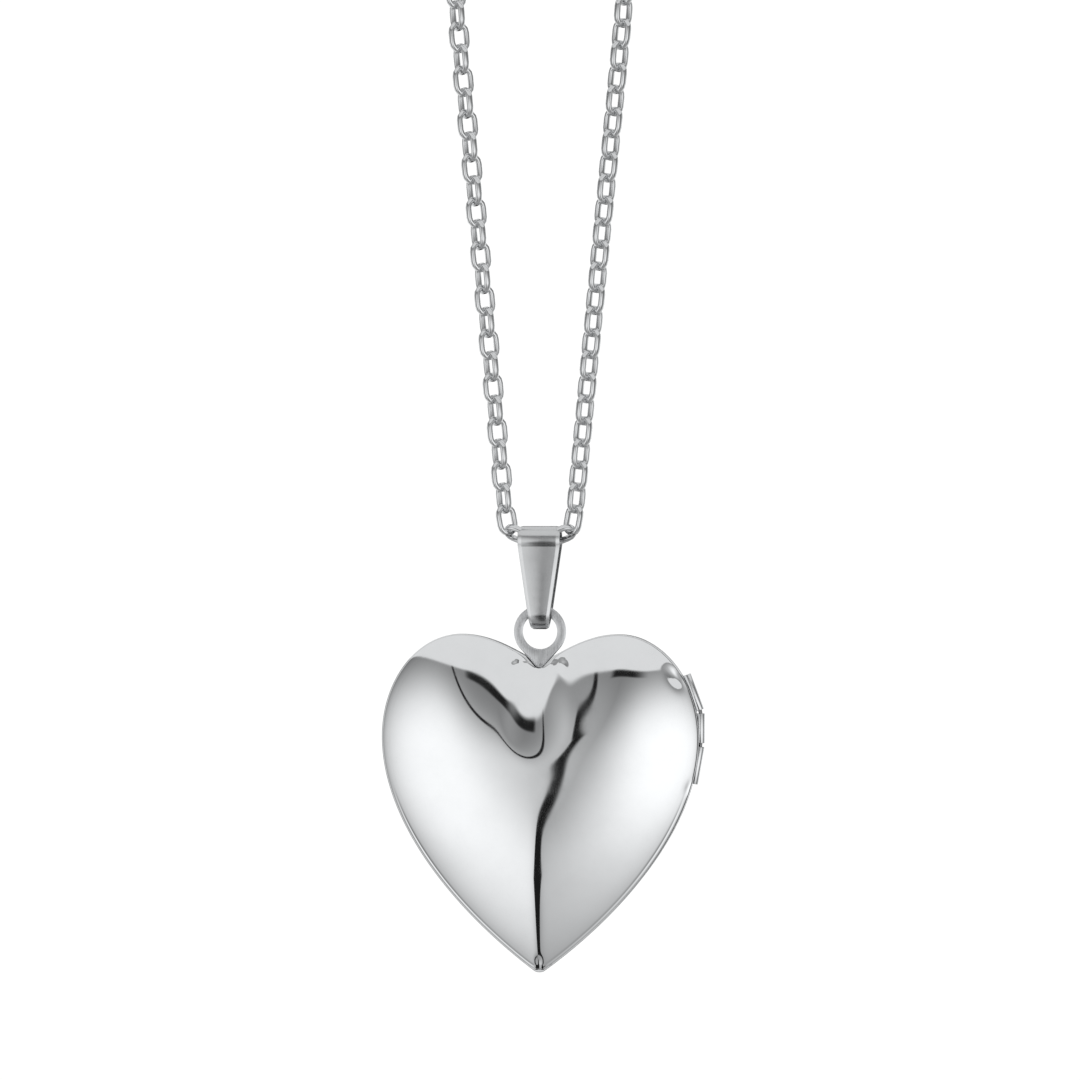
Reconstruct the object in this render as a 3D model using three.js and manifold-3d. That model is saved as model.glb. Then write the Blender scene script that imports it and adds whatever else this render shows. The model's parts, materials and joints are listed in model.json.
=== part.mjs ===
// Heart-shaped hinged locket hanging from a bail on a short closed length of cable chain.
// Millimetres. +Z up, the front cover faces -Y, the hinge is on the +X side.
// The origin is the centre of the arch that the chain makes where it goes over what holds it.
import * as THREE from "three";
import { mergeVertices } from "three/addons/utils/BufferGeometryUtils.js";
import Module from "manifold-3d";

const wasm = await Module();
wasm.setup();

// ---------- driving sizes ----------
const HEART_WIDTH = 27.2;
const HEART_HEIGHT = 28.8;
const HEART_TOP_Z = -59.1; // the tops of the two lobes
const CLEFT_DEPTH = 2.5;
const COVER_DEPTH = 3.3; // each half, from the seam to the highest point of its dome
const RIM_HEIGHT = 0.6; // upright wall beside the seam
const RIM_LEDGE = 0.12; // the rim's narrow face, before the dome begins
const DOME_FULLNESS = 0.93; // 0.5 is an elliptical dome, 1 a flatter one with a sharper crest
const RIDGE_ROUNDING = 0.2; // of the ridge that runs up from the tip
const VALLEY_WIDTH = 3.85; // of the round valley that runs down from the cleft
const SHEET = 0.45; // thickness of the stamped sheet
const SEAM_GAP = 0.06;
const FIT_GAP = 0.05; // between pieces soldered or pressed together

const RIM_BAND = 0.28; // closing rim
const RIM_REACH = 0.33; // how far it enters the front cover
const RIM_ROOT = 0.33; // how far it goes into the back cover
const FRAME_WIDTH = 1.3;
const FRAME_THICKNESS = 0.3;
const FRAME_LEVEL = 0.45; // seam to the near face of a photo frame
const PHOTO_SLOT = 0.3; // room for a paper photo between frame and seat
const SEAT_THICKNESS = 0.3;

const KNUCKLE_RADIUS = 0.38;
const PIN_RADIUS = 0.16;
const PIN_CLEARANCE = 0.04;
const HINGE_OFFSET = 0.12; // hinge axis outside the widest point of the heart
const HINGE_MID_Z = HEART_TOP_Z - 7.94;
const KNUCKLE_MIDDLE = 2.5;
const KNUCKLE_END = 3.2;
const KNUCKLE_SPACE = 0.3;
const UPPER_TILT = 21; // degrees; the end knuckles follow the edge of the heart
const LOWER_TILT = 10;

const LOOP_RADIUS = 2.22;
const LOOP_HOLE = 1.5;
const LOOP_THICKNESS = 0.72;
const LOOP_CENTRE_Z = HEART_TOP_Z + 0.22;
const TAIL_LENGTH = 3.1; // loop centre to the point of its tail

const BAIL_WIDTH_TOP = 3.62;
const BAIL_WIDTH_FOOT = 1.5;
const BAIL_STRAP = 0.33;
const BAIL_ROLL = 0.86; // inner radius of the top roll
const LOOP_SWING = 0.22; // room on each side for the loop to swing in the bail
const BAIL_FOOT_Z = LOOP_CENTRE_Z + 0.2;
const BAIL_TOP_Z = -49.87;
const CHAIN_DIAMETER = 1.45;
const ARCH_RADIUS = 7.55;
const ARCH_END = 42; // degrees above the horizontal where the chain ends

const RING_WIRE = 0.25;
const JUMP_RING = 1.05;
const END_RING = 1.3;
const CLASP_THICKNESS = 1.7;
const LEVER_THICKNESS = 0.6;
const RIVET_RADIUS = 0.27;

// ---------- helpers ----------
const group = new THREE.Group();
const STEEL = [0.78, 0.79, 0.8];

function add(name, geometry, roughness = 0.12) {
  const material = new THREE.MeshStandardMaterial({
    color: new THREE.Color(...STEEL),
    roughness,
    metalness: 1,
  });
  const mesh = new THREE.Mesh(geometry, material);
  mesh.name = name;
  group.add(mesh);
}

function toSolid(geometry) {
  let plain = geometry.index ? geometry.toNonIndexed() : geometry.clone();
  plain.deleteAttribute("normal");
  plain.deleteAttribute("uv");
  plain = mergeVertices(plain, 1e-4);
  return new wasm.Manifold(
    new wasm.Mesh({
      numProp: 3,
      vertProperties: new Float32Array(plain.attributes.position.array),
      triVerts: new Uint32Array(plain.index.array),
    }),
  );
}

function toGeometry(solid) {
  const mesh = solid.getMesh();
  const geometry = new THREE.BufferGeometry();
  geometry.setAttribute("position", new THREE.BufferAttribute(mesh.vertProperties, 3));
  geometry.setIndex(new THREE.BufferAttribute(mesh.triVerts, 1));
  return geometry;
}

function cut(geometry, ...tools) {
  let solid = toSolid(geometry);
  for (const tool of tools) {
    solid = solid.subtract(toSolid(tool));
  }
  return toGeometry(solid);
}

// A front-view shape (x, z) made into a slab from y0 to y1.
function slab(shape, y0, y1, curveSegments = 24) {
  const geometry = new THREE.ExtrudeGeometry(shape, {
    depth: y1 - y0,
    bevelEnabled: false,
    curveSegments,
  });
  geometry.rotateX(Math.PI / 2);
  geometry.translate(0, y1, 0);
  return geometry;
}

function shapeOf(points, hole) {
  const shape = new THREE.Shape(points);
  if (hole) {
    shape.holes.push(new THREE.Path(hole));
  }
  return shape;
}

function arcPoints(x, z, radius, from, to, steps) {
  const points = [];
  for (let i = 0; i <= steps; i += 1) {
    const angle = THREE.MathUtils.degToRad(from + ((to - from) * i) / steps);
    points.push(new THREE.Vector2(x + radius * Math.cos(angle), z + radius * Math.sin(angle)));
  }
  return points;
}

function discAlongY(x, z, radius, y0, y1, sides = 20) {
  const disc = new THREE.CylinderGeometry(radius, radius, y1 - y0, sides);
  disc.translate(x, (y0 + y1) / 2, z);
  return disc;
}

function tube(curve, radius, sides, steps) {
  const section = new THREE.Shape(arcPoints(0, 0, radius, 0, 360 - 360 / sides, sides - 1));
  return new THREE.ExtrudeGeometry(section, { steps, bevelEnabled: false, extrudePath: curve });
}

// ---------- heart outline and dome ----------
const kx = HEART_WIDTH / 27;
const kz = HEART_HEIGHT / 28.8;
const hx = (x) => x * kx;
const hz = (z) => HEART_TOP_Z + z * kz;

const heart = new THREE.Shape();
heart.moveTo(0, HEART_TOP_Z - CLEFT_DEPTH);
heart.bezierCurveTo(hx(2), hz(-1.45), hx(4), hz(0), hx(6.7), hz(0));
heart.bezierCurveTo(hx(10.4), hz(0), hx(13.5), hz(-3.9), hx(13.5), hz(-8.8));
heart.bezierCurveTo(hx(13.5), hz(-16.2), hx(7.2), hz(-23.7), hx(0.42), hz(-28.7));
heart.quadraticCurveTo(hx(0.25), hz(-28.8), 0, hz(-28.8));
heart.quadraticCurveTo(hx(-0.25), hz(-28.8), hx(-0.42), hz(-28.7));
heart.bezierCurveTo(hx(-7.2), hz(-23.7), hx(-13.5), hz(-16.2), hx(-13.5), hz(-8.8));
heart.bezierCurveTo(hx(-13.5), hz(-3.9), hx(-10.4), hz(0), hx(-6.7), hz(0));
heart.bezierCurveTo(hx(-4), hz(0), hx(-2), hz(-1.45), 0, HEART_TOP_Z - CLEFT_DEPTH);

const CENTRE_Z = hz(-11.5);
const SPOKES = 88;
const RINGS = 9;
const POWER = 6;
const STRAIGHT_EDGE = 1.1781; // integral of (1 + u^2)^(-POWER / 2), so a straight edge reads true

// The right half of the outline as short stretches: middle and length of each.
const edge = [];
const edgePoints = heart.getSpacedPoints(800);
for (let i = 0; i < 400; i += 1) {
  const a = edgePoints[i];
  const b = edgePoints[i + 1];
  edge.push([(a.x + b.x) / 2, (a.y + b.y) / 2, a.distanceTo(b)]);
}

function halfDistance(x, z) {
  let sum = 0;
  for (const [ex, ez, length] of edge) {
    sum += length / ((x - ex) ** 2 + (z - ez) ** 2) ** (POWER / 2);
  }
  return (STRAIGHT_EDGE / sum) ** (1 / (POWER - 1));
}

function softMin(a, b, width) {
  return -width * Math.log(Math.exp(-a / width) + Math.exp(-b / width));
}

// Distance to the outline. The two halves meet in a rounded ridge above the tip.
function edgeDistance(x, z) {
  return softMin(halfDistance(x, z), halfDistance(-x, z), RIDGE_ROUNDING);
}

// The same, held down in the valley that runs from the cleft to the middle.
function domeDistance(x, z) {
  const below = Math.max(0, HEART_TOP_Z - CLEFT_DEPTH - z);
  const width = VALLEY_WIDTH + 0.27 * below;
  const valley = 0.8 * below + 0.005 * below ** 3 + 2.7 * (Math.hypot(x, width) - width);
  return Math.max(0, softMin(edgeDistance(x, z), valley, 0.34));
}

let DEEPEST = 0;
for (let z = -8; z > -18; z -= 0.25) {
  DEEPEST = Math.max(DEEPEST, domeDistance(0, hz(z)));
}
DEEPEST *= 1.02;

function bulge(distance, from) {
  const s = Math.min(1, Math.max(0, distance - from) / (DEEPEST - from));
  return (s * (2 - s)) ** DOME_FULLNESS;
}

function outerDome(x, z) {
  return RIM_HEIGHT + (COVER_DEPTH - RIM_HEIGHT) * bulge(domeDistance(x, z), RIM_LEDGE);
}

const INNER_BASE = RIM_HEIGHT - 0.22;
const INNER_RISE = COVER_DEPTH - SHEET - INNER_BASE;

function innerDome(x, z) {
  return INNER_BASE + INNER_RISE * bulge(domeDistance(x, z), RIM_LEDGE + SHEET);
}

const outline = heart.getSpacedPoints(SPOKES).slice(0, SPOKES);

// The outline moved inwards, one point on each spoke.
function inset(distance, measure = edgeDistance) {
  return outline.map((p) => {
    let near = 0;
    let far = 0.9;
    for (let i = 0; i < 24; i += 1) {
      const t = (near + far) / 2;
      const d = measure(p.x * (1 - t), CENTRE_Z + (p.y - CENTRE_Z) * (1 - t));
      if (d < distance) {
        near = t;
      } else {
        far = t;
      }
    }
    return new THREE.Vector2(p.x * (1 - near), CENTRE_Z + (p.y - CENTRE_Z) * (1 - near));
  });
}

function coverShell(side) {
  const positions = [];
  const triangles = [];
  const seamY = SEAM_GAP / 2;
  const skin = (edgeLoop, base, height) => {
    const first = positions.length / 3;
    for (const y of [seamY, base]) {
      edgeLoop.forEach((p) => positions.push(p.x, y, p.y));
    }
    for (let j = 1; j < RINGS; j += 1) {
      const t = (j / RINGS) ** 1.6;
      edgeLoop.forEach((p) => {
        const x = p.x * (1 - t);
        const z = CENTRE_Z + (p.y - CENTRE_Z) * (1 - t);
        positions.push(x, height(x, z), z);
      });
    }
    positions.push(0, height(0, CENTRE_Z), CENTRE_Z);
    return first;
  };
  const outer = skin(outline, RIM_HEIGHT, outerDome);
  const inner = skin(inset(SHEET), INNER_BASE, innerDome);
  const band = (a, b, flip) => {
    for (let i = 0; i < SPOKES; i += 1) {
      const k = (i + 1) % SPOKES;
      const quad = flip
        ? [a + i, b + i, b + k, a + i, b + k, a + k]
        : [a + i, b + k, b + i, a + i, a + k, b + k];
      triangles.push(...quad);
    }
  };
  for (const [first, flip] of [
    [outer, false],
    [inner, true],
  ]) {
    for (let j = 0; j < RINGS; j += 1) {
      band(first + j * SPOKES, first + (j + 1) * SPOKES, flip);
    }
    const last = first + RINGS * SPOKES;
    for (let i = 0; i < SPOKES; i += 1) {
      const k = (i + 1) % SPOKES;
      triangles.push(...(flip ? [last + i, last + SPOKES, last + k] : [last + i, last + k, last + SPOKES]));
    }
  }
  band(outer, inner, true);
  if (side < 0) {
    for (let i = 1; i < positions.length; i += 3) {
      positions[i] *= -1;
    }
    for (let i = 0; i < triangles.length; i += 3) {
      [triangles[i], triangles[i + 1]] = [triangles[i + 1], triangles[i]];
    }
  }
  const geometry = new THREE.BufferGeometry();
  geometry.setAttribute("position", new THREE.Float32BufferAttribute(positions, 3));
  geometry.setIndex(triangles);
  return geometry;
}

// A band between two loops of the same number of points, from y0 to y1.
function loopBand(outer, inner, y0, y1) {
  const positions = [];
  for (const [points, y] of [
    [outer, y0],
    [outer, y1],
    [inner, y1],
    [inner, y0],
  ]) {
    points.forEach((p) => positions.push(p.x, y, p.y));
  }
  const count = outer.length;
  const triangles = [];
  for (let side = 0; side < 4; side += 1) {
    const a = side * count;
    const b = ((side + 1) % 4) * count;
    for (let i = 0; i < count; i += 1) {
      const k = (i + 1) % count;
      triangles.push(a + i, b + k, b + i, a + i, a + k, b + k);
    }
  }
  const geometry = new THREE.BufferGeometry();
  geometry.setAttribute("position", new THREE.Float32BufferAttribute(positions, 3));
  geometry.setIndex(triangles);
  return geometry;
}

// ---------- hinge ----------
const hingeX = HEART_WIDTH / 2 + HINGE_OFFSET;
const boreRadius = PIN_RADIUS + PIN_CLEARANCE;

// A tube or rod whose axis starts at (x, z) and leans towards the heart by tilt degrees.
function leaning(geometry, x, z, tilt, up) {
  geometry.rotateY(THREE.MathUtils.degToRad(-tilt * up));
  geometry.translate(x, 0, z);
  return geometry;
}

function knuckle(from, to, inner, outer) {
  const profile = inner
    ? [
        [inner, from],
        [outer, from],
        [outer, to],
        [inner, to],
        [inner, from],
      ]
    : [
        [0, from],
        [outer, from],
        [outer, to],
        [0, to],
      ];
  const geometry = new THREE.LatheGeometry(
    profile.map(([r, y]) => new THREE.Vector2(r, y)),
    20,
  );
  geometry.rotateX(Math.PI / 2);
  return geometry;
}

const bendUpper = HINGE_MID_Z + KNUCKLE_MIDDLE / 2 + KNUCKLE_SPACE / 2;
const bendLower = HINGE_MID_Z - KNUCKLE_MIDDLE / 2 - KNUCKLE_SPACE / 2;
const endFrom = KNUCKLE_SPACE / 2;
const endTo = endFrom + KNUCKLE_END;

function hingePiece(which, inner, outer, extra = 0) {
  if (which === "middle") {
    const half = KNUCKLE_MIDDLE / 2 + extra;
    return leaning(knuckle(-half, half, inner, outer), hingeX, HINGE_MID_Z, 0, 1);
  }
  if (which === "upper") {
    return leaning(knuckle(endFrom - extra, endTo + extra, inner, outer), hingeX, bendUpper, UPPER_TILT, 1);
  }
  return leaning(knuckle(-endTo - extra, -endFrom + extra, inner, outer), hingeX, bendLower, LOWER_TILT, -1);
}

function hingePin() {
  const upper = THREE.MathUtils.degToRad(UPPER_TILT);
  const lower = THREE.MathUtils.degToRad(LOWER_TILT);
  const onUpper = (s) => new THREE.Vector3(hingeX - s * Math.sin(upper), 0, bendUpper + s * Math.cos(upper));
  const onLower = (s) => new THREE.Vector3(hingeX - s * Math.sin(lower), 0, bendLower - s * Math.cos(lower));
  const straight = [0.12, 0.45, 0.9].map((s) => new THREE.Vector3(hingeX, 0, bendUpper - s));
  const straightLow = [0.9, 0.45, 0.12].map((s) => new THREE.Vector3(hingeX, 0, bendLower + s));
  const path = new THREE.CatmullRomCurve3([
    onUpper(endTo - 0.05),
    ...[2, 1, 0.45, 0.12].map(onUpper),
    ...straight,
    ...straightLow,
    ...[0.12, 0.45, 1, 2].map(onLower),
    onLower(endTo - 0.05),
  ]);
  return tube(path, PIN_RADIUS, 10, 60);
}

const grooves = ["upper", "middle", "lower"].map((which) =>
  hingePiece(which, 0, KNUCKLE_RADIUS + FIT_GAP, 0.12),
);

// ---------- suspension loop ----------
function loopShape(grow) {
  const r = LOOP_RADIUS + grow;
  const tip = LOOP_CENTRE_Z - TAIL_LENGTH - grow;
  const shape = new THREE.Shape();
  const start = THREE.MathUtils.degToRad(-44);
  shape.absarc(0, LOOP_CENTRE_Z, r, start, Math.PI - start, false);
  shape.lineTo(-0.42, tip + 0.22);
  shape.quadraticCurveTo(-0.2, tip, 0, tip);
  shape.quadraticCurveTo(0.2, tip, 0.42, tip + 0.22);
  return shape;
}

function suspensionLoop() {
  const shape = loopShape(0);
  const hole = new THREE.Path();
  hole.absarc(0, LOOP_CENTRE_Z, LOOP_HOLE, 0, Math.PI * 2, true);
  shape.holes.push(hole);
  const bevel = 0.16;
  const geometry = new THREE.ExtrudeGeometry(shape, {
    depth: LOOP_THICKNESS - 2 * bevel,
    bevelEnabled: true,
    bevelThickness: bevel,
    bevelSize: bevel,
    bevelOffset: -bevel,
    bevelSegments: 2,
    curveSegments: 28,
  });
  geometry.rotateX(Math.PI / 2);
  geometry.translate(0, LOOP_THICKNESS / 2 - bevel, 0);
  return geometry;
}

const tailRoom = slab(loopShape(FIT_GAP), -COVER_DEPTH - 1, LOOP_THICKNESS / 2 + FIT_GAP);

// ---------- bail ----------
const rollZ = BAIL_TOP_Z - BAIL_STRAP - BAIL_ROLL;
const bandZ = LOOP_CENTRE_Z + (LOOP_RADIUS + LOOP_HOLE) / 2; // middle of the loop's top band

function bailSide(grow) {
  const band = LOOP_THICKNESS / 2 + LOOP_SWING + grow;
  const shape = new THREE.Shape();
  shape.absarc(0, rollZ, BAIL_ROLL + grow, 0, Math.PI, false);
  shape.lineTo(-band, bandZ - 0.35);
  shape.bezierCurveTo(
    -band,
    bandZ - 0.9,
    -0.12 - grow,
    BAIL_FOOT_Z + BAIL_STRAP - grow,
    0,
    BAIL_FOOT_Z + BAIL_STRAP - grow,
  );
  shape.bezierCurveTo(0.12 + grow, BAIL_FOOT_Z + BAIL_STRAP - grow, band, bandZ - 0.9, band, bandZ - 0.35);
  return shape;
}

function bail() {
  const outer = bailSide(BAIL_STRAP);
  outer.holes.push(bailSide(0));
  const strap = new THREE.ExtrudeGeometry(outer, {
    depth: BAIL_WIDTH_TOP,
    bevelEnabled: false,
    curveSegments: 14,
  });
  strap.applyMatrix4(
    new THREE.Matrix4().makeBasis(
      new THREE.Vector3(0, 1, 0),
      new THREE.Vector3(0, 0, 1),
      new THREE.Vector3(1, 0, 0),
    ),
  );
  strap.translate(-BAIL_WIDTH_TOP / 2, 0, 0);
  const top = BAIL_WIDTH_TOP / 2;
  const foot = BAIL_WIDTH_FOOT / 2;
  const front = new THREE.Shape([
    new THREE.Vector2(-top, BAIL_TOP_Z + 0.1),
    new THREE.Vector2(-top, BAIL_TOP_Z - 1.7),
    new THREE.Vector2(-foot, BAIL_FOOT_Z - 0.1),
    new THREE.Vector2(foot, BAIL_FOOT_Z - 0.1),
    new THREE.Vector2(top, BAIL_TOP_Z - 1.7),
    new THREE.Vector2(top, BAIL_TOP_Z + 0.1),
  ]);
  let solid = toSolid(strap).intersect(toSolid(slab(front, -2, 2)));
  const slit = new THREE.BoxGeometry(3, 0.1, 1);
  slit.translate(0, 0, BAIL_FOOT_Z + 0.3);
  solid = solid.subtract(toSolid(slit));
  return toGeometry(solid);
}

// ---------- chain ----------
// Half of the centre line, from inside the bail up to the tangent of the arch, as (x, z).
const chainZ = rollZ + BAIL_ROLL - CHAIN_DIAMETER / 2 - FIT_GAP;
const halfChain = [
  [0, chainZ],
  [0.9, chainZ],
  [1.75, chainZ + 0.01],
  [2.35, chainZ + 0.2],
  [2.75, chainZ + 0.8],
  [2.95, chainZ + 1.8],
  [3.27, -46],
  [3.85, -40],
  [4.62, -32],
  [5.4, -24],
  [6.2, -16],
  [6.98, -8],
  [7.3, -4],
  [7.51, -0.74],
];

function chainCurve() {
  const right = halfChain.map(([x, z]) => new THREE.Vector3(x, 0, z));
  for (const degrees of [8, 20, 31, ARCH_END]) {
    const angle = THREE.MathUtils.degToRad(degrees);
    right.push(new THREE.Vector3(ARCH_RADIUS * Math.cos(angle), 0, ARCH_RADIUS * Math.sin(angle)));
  }
  const left = right.slice(1).reverse();
  return new THREE.CatmullRomCurve3([
    ...left.map((p) => new THREE.Vector3(-p.x, 0, p.z)),
    ...right,
  ]);
}

// ---------- rings and clasp over the arch ----------
const endAngle = THREE.MathUtils.degToRad(ARCH_END);
const endX = ARCH_RADIUS * Math.cos(endAngle);
const endZ = ARCH_RADIUS * Math.sin(endAngle);
const alongX = -Math.sin(endAngle);
const alongZ = Math.cos(endAngle);

// A wire ring whose near side meets the chain's end, on the side given by the sign of x.
function ring(side, radius, wire) {
  const geometry = new THREE.TorusGeometry(radius, wire, 10, 24);
  geometry.rotateY(-Math.atan2(alongZ, alongX * side));
  const reach = 0.1 + wire + radius;
  geometry.translate(side * endX + side * alongX * reach, 0, endZ + alongZ * reach);
  return geometry;
}

const jumpReach = 0.1 + RING_WIRE + 2 * JUMP_RING;
const eyeX = endX + alongX * jumpReach - 0.14;
const eyeZ = endZ + alongZ * jumpReach;
const hookX = -2.7;
const hookZ = 7.0;
const HOOK_OUTER = 2.2;
const HOOK_INNER = 1.35;
const pivotX = 0.1;
const pivotZ = 7.75;

function claspBody() {
  const half = CLASP_THICKNESS / 2;
  const hook = shapeOf(
    arcPoints(hookX, hookZ, HOOK_OUTER, 0, 350, 35),
    arcPoints(hookX, hookZ, HOOK_INNER, 0, 348, 29),
  );
  const barrel = shapeOf([
    ...arcPoints(2.4, 7, 1, -90, 90, 8),
    ...arcPoints(-0.2, 7.35, 1.15, 90, 130, 3),
    new THREE.Vector2(-1.2, 7),
    new THREE.Vector2(-1.25, 6.2),
    ...arcPoints(-0.2, 6.6, 0.9, 225, 270, 3),
  ]);
  const eye = shapeOf(arcPoints(eyeX, eyeZ, 1.05, 0, 345, 23), arcPoints(eyeX, eyeZ, 0.55, 0, 340, 17));
  let solid = toSolid(slab(hook, -half, half)).add(toSolid(slab(barrel, -half, half)));
  const eyeRoom = discAlongY(eyeX, eyeZ, 0.55, -2, 2, 18);
  solid = solid.add(toSolid(slab(eye, -0.45, 0.45))).subtract(toSolid(eyeRoom));
  // the mouth that the lever closes
  const mouth = shapeOf([
    ...arcPoints(hookX, hookZ, 1, 14, 115, 8),
    ...arcPoints(hookX, hookZ, 3, 115, 14, 8),
  ]);
  solid = solid.subtract(toSolid(slab(mouth, -2, 2)));
  // the slot that the lever and its spring work in
  const slotHalf = LEVER_THICKNESS / 2 + FIT_GAP;
  const slot = shapeOf([
    new THREE.Vector2(-2.2, 6.85),
    new THREE.Vector2(0.2, 6.5),
    new THREE.Vector2(2.1, 6.5),
    new THREE.Vector2(2.1, 9.5),
    new THREE.Vector2(-2.2, 9.5),
  ]);
  solid = solid.subtract(toSolid(slab(slot, -slotHalf, slotHalf)));
  solid = solid.subtract(toSolid(discAlongY(pivotX, pivotZ, RIVET_RADIUS + 0.03, -2, 2, 16)));
  return toGeometry(solid);
}

function claspLever() {
  const half = LEVER_THICKNESS / 2;
  const arm = shapeOf([
    ...arcPoints(hookX, hookZ, HOOK_INNER + 0.05, 4, 102, 10),
    ...arcPoints(hookX, hookZ, HOOK_OUTER - 0.45, 102, 98, 1),
    ...arcPoints(hookX, hookZ, HOOK_OUTER - 0.05, 76, 16, 6),
  ]);
  const hub = shapeOf([
    ...arcPoints(pivotX, pivotZ, 0.72, -100, 60, 9),
    new THREE.Vector2(0.75, 9.1),
    new THREE.Vector2(0.35, 9.35),
    new THREE.Vector2(-0.1, 9.1),
    new THREE.Vector2(-0.7, 8.25),
    new THREE.Vector2(-1.1, 7.9),
    new THREE.Vector2(-1.3, 7.2),
    new THREE.Vector2(-0.8, 7.15),
  ]);
  let solid = toSolid(slab(arm, -half, half)).add(toSolid(slab(hub, -half, half)));
  solid = solid.subtract(toSolid(discAlongY(pivotX, pivotZ, RIVET_RADIUS + 0.04, -2, 2, 16)));
  return toGeometry(solid);
}

function claspSpring() {
  const strip = 0.12;
  const path = [
    [1.0, 6.62],
    [1.6, 6.66],
    [1.95, 6.95],
    [1.8, 7.3],
    [1.45, 7.5],
    [0.95, 7.6],
  ];
  const curve = new THREE.CatmullRomCurve3(path.map(([x, z]) => new THREE.Vector3(x, 0, z)));
  const w = 0.22;
  const section = new THREE.Shape([
    new THREE.Vector2(-strip / 2, -w),
    new THREE.Vector2(strip / 2, -w),
    new THREE.Vector2(strip / 2, w),
    new THREE.Vector2(-strip / 2, w),
  ]);
  return new THREE.ExtrudeGeometry(section, { steps: 16, bevelEnabled: false, extrudePath: curve });
}

// ---------- build ----------
add("back_cover", cut(coverShell(1), ...grooves, tailRoom), 0.08);
add("front_cover", cut(coverShell(-1), ...grooves, tailRoom), 0.08);

// The closing rim stops short of the hinge on both sides, because there it could not swing clear.
function closingRim() {
  const outer = inset(SHEET + FIT_GAP + 0.01);
  const inner = inset(SHEET + FIT_GAP + 0.01 + RIM_BAND);
  const band = loopBand(outer, inner, -RIM_REACH, RIM_ROOT);
  const room = new THREE.BoxGeometry(8, 4, 16);
  room.translate(hingeX, 0, HINGE_MID_Z);
  return cut(band, room);
}

// How far inside the outline a flat plate must stop to clear the inner dome at this height.
function clearInset(level) {
  const rise = ((level - INNER_BASE) / INNER_RISE) ** (1 / DOME_FULLNESS);
  const from = RIM_LEDGE + SHEET;
  return from + (1 - Math.sqrt(1 - rise)) * (DEEPEST - from) + FIT_GAP + 0.08;
}

function photoFrame(side) {
  const clear = clearInset(FRAME_LEVEL + FRAME_THICKNESS);
  const outer = inset(clear, domeDistance);
  const inner = inset(clear + FRAME_WIDTH, domeDistance);
  const near = side * FRAME_LEVEL;
  const far = side * (FRAME_LEVEL + FRAME_THICKNESS);
  return loopBand(outer, inner, Math.min(near, far), Math.max(near, far));
}

const seatLevel = FRAME_LEVEL + FRAME_THICKNESS + PHOTO_SLOT;

function photoSeat(side) {
  const plate = shapeOf(inset(clearInset(seatLevel + SEAT_THICKNESS), domeDistance));
  const near = side * seatLevel;
  const far = side * (seatLevel + SEAT_THICKNESS);
  return slab(plate, Math.min(near, far), Math.max(near, far));
}

add("closing_rim", closingRim(), 0.3);
add("photo_frame_back", photoFrame(1), 0.3);
add("photo_frame_front", photoFrame(-1), 0.3);
add("photo_seat_back", photoSeat(1), 0.4);
add("photo_seat_front", photoSeat(-1), 0.4);

add("hinge_knuckle_upper", hingePiece("upper", boreRadius, KNUCKLE_RADIUS), 0.15);
add("hinge_knuckle_middle", hingePiece("middle", boreRadius, KNUCKLE_RADIUS), 0.15);
add("hinge_knuckle_lower", hingePiece("lower", boreRadius, KNUCKLE_RADIUS), 0.15);
add("hinge_pin", hingePin(), 0.3);

add("suspension_loop", suspensionLoop(), 0.35);
add("bail", bail(), 0.15);

add("chain", tube(chainCurve(), CHAIN_DIAMETER / 2, 8, 80), 0.2);
add("jump_ring", ring(1, JUMP_RING, RING_WIRE), 0.15);
add("end_ring", ring(-1, END_RING, RING_WIRE), 0.15);
add("clasp_body", claspBody(), 0.15);
add("clasp_lever", claspLever(), 0.15);
add("clasp_spring", claspSpring(), 0.4);
const half = CLASP_THICKNESS / 2;
add("clasp_rivet", discAlongY(pivotX, pivotZ, RIVET_RADIUS, -half, half, 16), 0.3);

export default group;
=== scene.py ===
"""Heart locket on a closed length of cable chain: the fine visual model and its studio."""
import json
import math

import bmesh
import bpy
import numpy as np
from bpy.props import FloatProperty, FloatVectorProperty, IntProperty, PointerProperty
from mathutils import Matrix, Vector


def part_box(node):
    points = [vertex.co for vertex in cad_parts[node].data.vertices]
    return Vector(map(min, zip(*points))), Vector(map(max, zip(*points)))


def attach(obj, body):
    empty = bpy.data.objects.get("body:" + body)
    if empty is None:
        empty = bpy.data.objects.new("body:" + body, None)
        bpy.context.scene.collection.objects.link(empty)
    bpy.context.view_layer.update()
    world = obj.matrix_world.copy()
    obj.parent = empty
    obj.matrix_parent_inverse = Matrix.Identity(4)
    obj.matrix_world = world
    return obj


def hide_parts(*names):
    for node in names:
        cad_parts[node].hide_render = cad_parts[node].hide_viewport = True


bl_info = {
    "name": "Heart Locket",
    "version": (1, 0, 0),
    "blender": (4, 5, 0),
    "location": "View3D > Sidebar > Locket",
    "description": "Builds a hinged heart locket, its bail, its chain and a small studio",
    "category": "Object",
}

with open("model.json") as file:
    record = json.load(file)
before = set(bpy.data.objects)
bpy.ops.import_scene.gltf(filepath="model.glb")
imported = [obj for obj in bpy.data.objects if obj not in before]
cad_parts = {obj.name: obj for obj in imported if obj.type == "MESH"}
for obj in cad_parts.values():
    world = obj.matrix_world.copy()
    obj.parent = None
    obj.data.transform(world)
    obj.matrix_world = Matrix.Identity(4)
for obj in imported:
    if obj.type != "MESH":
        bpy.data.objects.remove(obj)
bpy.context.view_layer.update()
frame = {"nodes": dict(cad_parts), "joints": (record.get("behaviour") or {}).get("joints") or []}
MM = 0.001

HEART_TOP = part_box("suspension_loop")[1][2] - 2.44 * MM
HINGE = next(j for j in frame["joints"] if j["name"] == "cover_hinge")
MATERIALS = {}


# ---- sizes and finishes
def length(name, description, millimetres):
    return FloatProperty(name=name, description=description, default=millimetres * MM, unit="LENGTH")


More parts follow.
